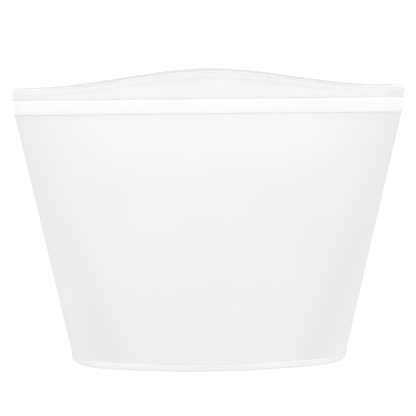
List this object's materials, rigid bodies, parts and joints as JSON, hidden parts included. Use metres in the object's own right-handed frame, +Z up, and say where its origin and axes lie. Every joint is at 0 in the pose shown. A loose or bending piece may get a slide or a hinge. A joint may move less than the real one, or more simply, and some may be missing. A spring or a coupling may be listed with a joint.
{
  "type": "reusable silicone bag",
  "caption": "Stand-up frosted silicone food bag with an oval base, leaning walls, a press-to-close zip band and crowned pull lips.",
  "frame": {"origin": "centre of the base at the surface it stands on", "axes": "+X along the bag's width, -Y is the front, which carries the zip's rib, +Z up"},
  "size_m": [0.1956, 0.0586, 0.1472],
  "materials": {
    "frosted_silicone": "frosted, translucent",
    "zip_silicone": "satin, thicker and so whiter"
  },
  "bodies": {
    "bag": {"base": "frosted_silicone", "left_gusset": "frosted_silicone", "right_gusset": "frosted_silicone", "left_end_seal": "zip_silicone", "right_end_seal": "zip_silicone"},
    "front": {"front_wall": "frosted_silicone", "front_track": "zip_silicone", "zip_rib": "zip_silicone", "front_lip": "frosted_silicone", "front_lip_rim": "frosted_silicone"},
    "back": {"back_wall": "frosted_silicone", "back_track": "zip_silicone", "upper_groove_jaw": "zip_silicone", "lower_groove_jaw": "zip_silicone", "back_lip": "frosted_silicone", "back_lip_rim": "frosted_silicone"}
  },
  "joints": [
    {"name": "front_wall_opening", "type": "hinge", "parent": "bag", "child": "front", "pos_m": [0, -0.02825, 0.00335], "axis": [1, 0, 0], "range_deg": [0, 15]},
    {"name": "back_wall_opening", "type": "hinge", "parent": "bag", "child": "back", "pos_m": [0, 0.02825, 0.00335], "axis": [-1, 0, 0], "range_deg": [0, 15]}
  ]
}
